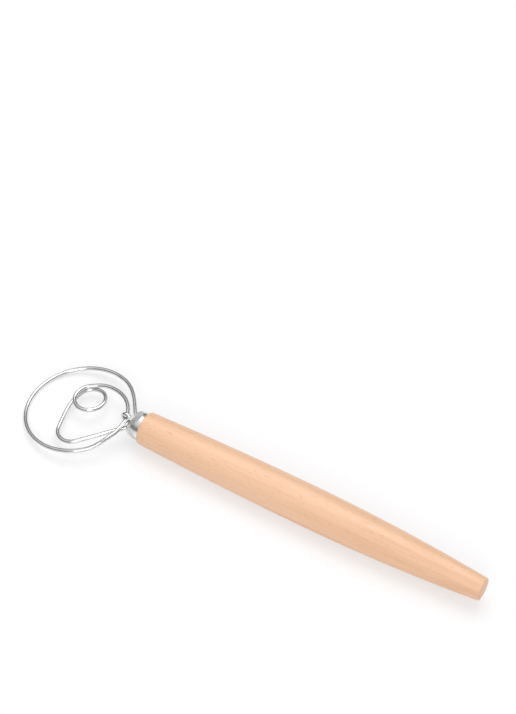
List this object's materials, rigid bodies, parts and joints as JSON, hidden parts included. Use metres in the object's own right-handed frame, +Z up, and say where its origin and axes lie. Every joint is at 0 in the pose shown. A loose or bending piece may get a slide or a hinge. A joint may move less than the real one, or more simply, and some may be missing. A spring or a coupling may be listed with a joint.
{
  "type": "dough whisk",
  "caption": "Dough whisk: a turned wooden handle, a pressed steel ferrule and a flat head bent from one steel wire, with an outer loop, an inner loop and a small coil.",
  "frame": {"origin": "on the resting plane under the middle of the bounding box", "axes": "+Z up; the handle lies along X with its butt towards +X and the wire head towards -X; +Y is the side of the head's small coil"},
  "size_m": [0.3318, 0.0768, 0.0266],
  "materials": {
    "beech": "fine sanded and oiled, satin",
    "ferrule_steel": "polished",
    "wire_steel": "polished stainless wire",
    "resin": "cast adhesive"
  },
  "bodies": {
    "root": {"handle": "beech", "ferrule": "ferrule_steel", "whisk_wire": "wire_steel", "retaining_hook": "wire_steel", "setting_resin": "resin"}
  },
  "joints": []
}
